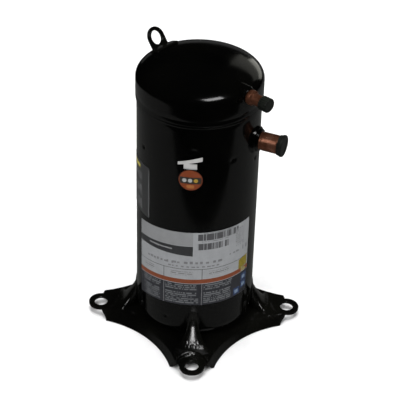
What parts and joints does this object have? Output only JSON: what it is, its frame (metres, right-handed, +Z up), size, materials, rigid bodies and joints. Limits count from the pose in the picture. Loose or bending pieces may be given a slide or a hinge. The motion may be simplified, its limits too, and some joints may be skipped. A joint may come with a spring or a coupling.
{
  "type": "scroll compressor",
  "caption": "Upright hermetic scroll compressor in a black welded shell, with copper suction and discharge stubs, four-foot base, lifting eye and full internals.",
  "frame": {"origin": "centre of the base, on the plane that the base stands on", "axes": "+Z up along the shaft; the four feet lie on +X, -X, +Y and -Y; the nameplate faces -Y"},
  "size_m": [0.3044, 0.3044, 0.4302],
  "materials": {
    "black_paint": "gloss",
    "copper": "satin",
    "cap_rubber": "matt",
    "label_print": "satin",
    "label_orange": "satin",
    "label_white": "satin",
    "label_dark": "satin",
    "seal_glass": "gloss",
    "bare_steel": "satin",
    "brass_parts": "satin",
    "seal_ring": "satin",
    "cast_iron": "machined",
    "bearing_bronze": "machined",
    "oldham_aluminium": "machined",
    "weight_brass": "machined",
    "lamination": "laminated",
    "winding_enamel": "varnished",
    "plug_plastic": "matt",
    "lead_insulation": "matt",
    "magnet_ferrite": "matt"
  },
  "bodies": {
    "shell": {"base_plate": "black_paint", "bottom_cap": "black_paint", "shell_tube": "black_paint", "top_cap": "black_paint", "lifting_lug": "black_paint", "suction_collar": "black_paint", "discharge_collar": "black_paint", "terminal_box": "black_paint", "terminal_cup": "black_paint", "suction_stub": "copper", "discharge_stub": "copper", "terminal_block": "cap_rubber", "nameplate_label": "label_print", "round_sticker": "label_orange", "tag_sticker": "label_white", "side_label": "label_dark", "terminal_glass": "seal_glass", "muffler_plate": "bare_steel", "check_valve_seat": "bare_steel", "check_valve_cage": "bare_steel", "guide_sleeves": "bare_steel", "scroll_bolts": "bare_steel", "suction_baffle": "bare_steel", "lower_thrust_plate": "bare_steel", "terminal_pins": "brass_parts", "relief_valve": "brass_parts", "ground_screw": "brass_parts", "motor_protector": "seal_ring", "main_bearing_housing": "cast_iron", "lower_bearing_bracket": "cast_iron", "main_bearing": "bearing_bronze", "lower_bearing": "bearing_bronze", "stator_core": "lamination", "stator_winding": "winding_enamel", "inner_plug": "plug_plastic", "motor_leads": "lead_insulation", "sump_magnet": "magnet_ferrite"},
    "orbiting": {"orbiting_scroll": "cast_iron", "hub_bearing": "bearing_bronze"},
    "crank": {"crankshaft": "bare_steel", "oil_pickup": "bare_steel", "rotor_core": "lamination", "rotor_cage": "oldham_aluminium", "upper_counterweight": "weight_brass", "lower_counterweight": "weight_brass", "drive_bush": "bare_steel"},
    "washer": {"bush_washer": "bare_steel"},
    "oldham": {"oldham_ring": "oldham_aluminium"},
    "non_orbiting": {"non_orbiting_scroll": "cast_iron"},
    "float_seal": {"floating_seal": "cast_iron", "outer_seal_ring": "seal_ring", "inner_seal_ring": "seal_ring"},
    "check_disc": {"check_valve_disc": "bare_steel"},
    "suction_cap": {"suction_cap": "cap_rubber"},
    "discharge_cap": {"discharge_cap": "cap_rubber"},
    "terminal_cover": {"terminal_cover": "black_paint"}
  },
  "joints": [
    {"name": "crank_spin", "type": "hinge", "parent": "shell", "child": "crank", "pos_m": [0, 0, 0.16], "axis": [0, 0, 1], "continuous": true},
    {"name": "orbit_pivot", "type": "hinge", "parent": "crank", "child": "orbiting", "pos_m": [0.005, 0, 0.303], "axis": [0, 0, 1], "continuous": true},
    {"name": "washer_pivot", "type": "hinge", "parent": "crank", "child": "washer", "pos_m": [0.0025, 0, 0.289], "axis": [0, 0, 1], "continuous": true},
    {"name": "oldham_pivot", "type": "hinge", "parent": "washer", "child": "oldham", "pos_m": [0.005, 0, 0.311], "axis": [0, 0, 1], "continuous": true},
    {"name": "scroll_lift", "type": "slide", "parent": "shell", "child": "non_orbiting", "axis": [0, 0, 1], "range_m": [0, 0.0008]},
    {"name": "seal_lift", "type": "slide", "parent": "non_orbiting", "child": "float_seal", "axis": [0, 0, 1], "range_m": [0, 0.0008]},
    {"name": "check_lift", "type": "slide", "parent": "shell", "child": "check_disc", "axis": [0, 0, 1], "range_m": [0, 0.003]},
    {"name": "suction_cap_pull", "type": "slide", "parent": "shell", "child": "suction_cap", "axis": [0.9205, -0.3907, 0], "range_m": [0, 0.1]},
    {"name": "discharge_cap_pull", "type": "slide", "parent": "shell", "child": "discharge_cap", "axis": [0.7431, -0.6691, 0], "range_m": [0, 0.1]},
    {"name": "terminal_cover_pull", "type": "slide", "parent": "shell", "child": "terminal_cover", "axis": [0, 1, 0], "range_m": [0, 0.08]}
  ],
  "couplings": [
    {"joint": "orbit_pivot", "follows": "crank_spin", "ratio": -1},
    {"joint": "washer_pivot", "follows": "crank_spin", "ratio": -2},
    {"joint": "oldham_pivot", "follows": "crank_spin", "ratio": 1}
  ]
}
